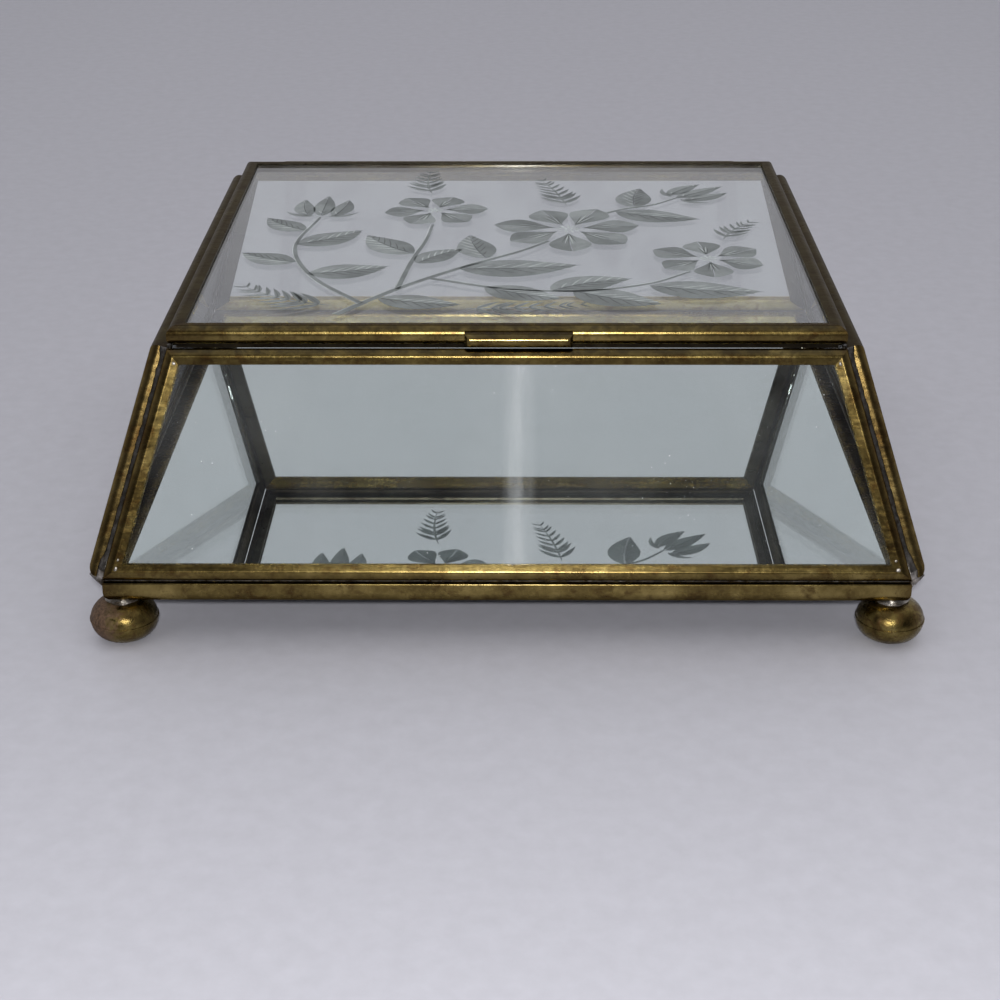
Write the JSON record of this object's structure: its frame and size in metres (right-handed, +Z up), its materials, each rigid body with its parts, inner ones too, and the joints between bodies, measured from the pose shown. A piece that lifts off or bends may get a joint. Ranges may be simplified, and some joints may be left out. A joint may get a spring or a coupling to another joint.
{
  "type": "glass casket box",
  "caption": "Low glass casket with leaning walls edged in brass channel, a mirror base, ball feet and a flat etched glass lid that opens on a rear hinge.",
  "frame": {"origin": "on the surface that the box stands on, under its centre", "axes": "+Z up, +X to the right, -Y towards the lift tab at the front; the hinge is at +Y"},
  "size_m": [0.1464, 0.1464, 0.053],
  "materials": {
    "channel_brass": "aged brass sheet with a dull olive patina, worn brighter along its edges",
    "dark_channel_brass": "aged brass sheet, darkened to a grey brown",
    "foot_brass": "pressed brass, mottled olive and brown, half polished",
    "hinge_brass": "drawn brass tube and wire, aged",
    "solder": "grey tin and lead solder, lumpy, with bright spots",
    "clear_glass": "clear sheet glass with dust",
    "etched_glass": "clear sheet glass with a wheel-cut frosted design on top",
    "mirror": "silvered sheet glass, lightly dusty, with a painted back"
  },
  "bodies": {
    "case": {"base_mirror": "mirror", "base_channel_front": "channel_brass", "base_channel_back": "channel_brass", "base_channel_left": "channel_brass", "base_channel_right": "channel_brass", "front_glass": "clear_glass", "front_channel_bottom": "channel_brass", "front_channel_top": "channel_brass", "front_channel_left": "channel_brass", "front_channel_right": "channel_brass", "back_glass": "clear_glass", "back_channel_bottom": "channel_brass", "back_channel_top": "channel_brass", "back_channel_left": "dark_channel_brass", "back_channel_right": "dark_channel_brass", "left_glass": "clear_glass", "left_channel_bottom": "dark_channel_brass", "left_channel_top": "dark_channel_brass", "left_channel_front": "channel_brass", "left_channel_back": "dark_channel_brass", "right_glass": "clear_glass", "right_channel_bottom": "dark_channel_brass", "right_channel_top": "dark_channel_brass", "right_channel_front": "channel_brass", "right_channel_back": "dark_channel_brass", "hinge_pin": "hinge_brass", "case_knuckles": "hinge_brass", "corner_solder_front_left": "solder", "corner_solder_front_right": "solder", "corner_solder_back_left": "solder", "corner_solder_back_right": "solder", "base_solder_front": "solder", "base_solder_back": "solder", "base_solder_left": "solder", "base_solder_right": "solder", "lid_rest_beads": "solder", "foot_upper_cup_front_left": "foot_brass", "foot_upper_cup_front_right": "foot_brass", "foot_upper_cup_back_left": "foot_brass", "foot_upper_cup_back_right": "foot_brass", "foot_lower_cup_front_left": "foot_brass", "foot_lower_cup_front_right": "foot_brass", "foot_lower_cup_back_left": "foot_brass", "foot_lower_cup_back_right": "foot_brass", "foot_solder": "solder"},
    "lid": {"lid_glass": "etched_glass", "lid_channel_front": "channel_brass", "lid_channel_back": "dark_channel_brass", "lid_channel_left": "dark_channel_brass", "lid_channel_right": "dark_channel_brass", "lid_lip": "dark_channel_brass", "lift_tab": "channel_brass", "lid_knuckles": "hinge_brass"}
  },
  "joints": [
    {"name": "lid_hinge", "type": "hinge", "parent": "case", "child": "lid", "pos_m": [0, 0.05568, 0.05108], "axis": [-1, 0, 0], "range_deg": [0, 105]}
  ]
}
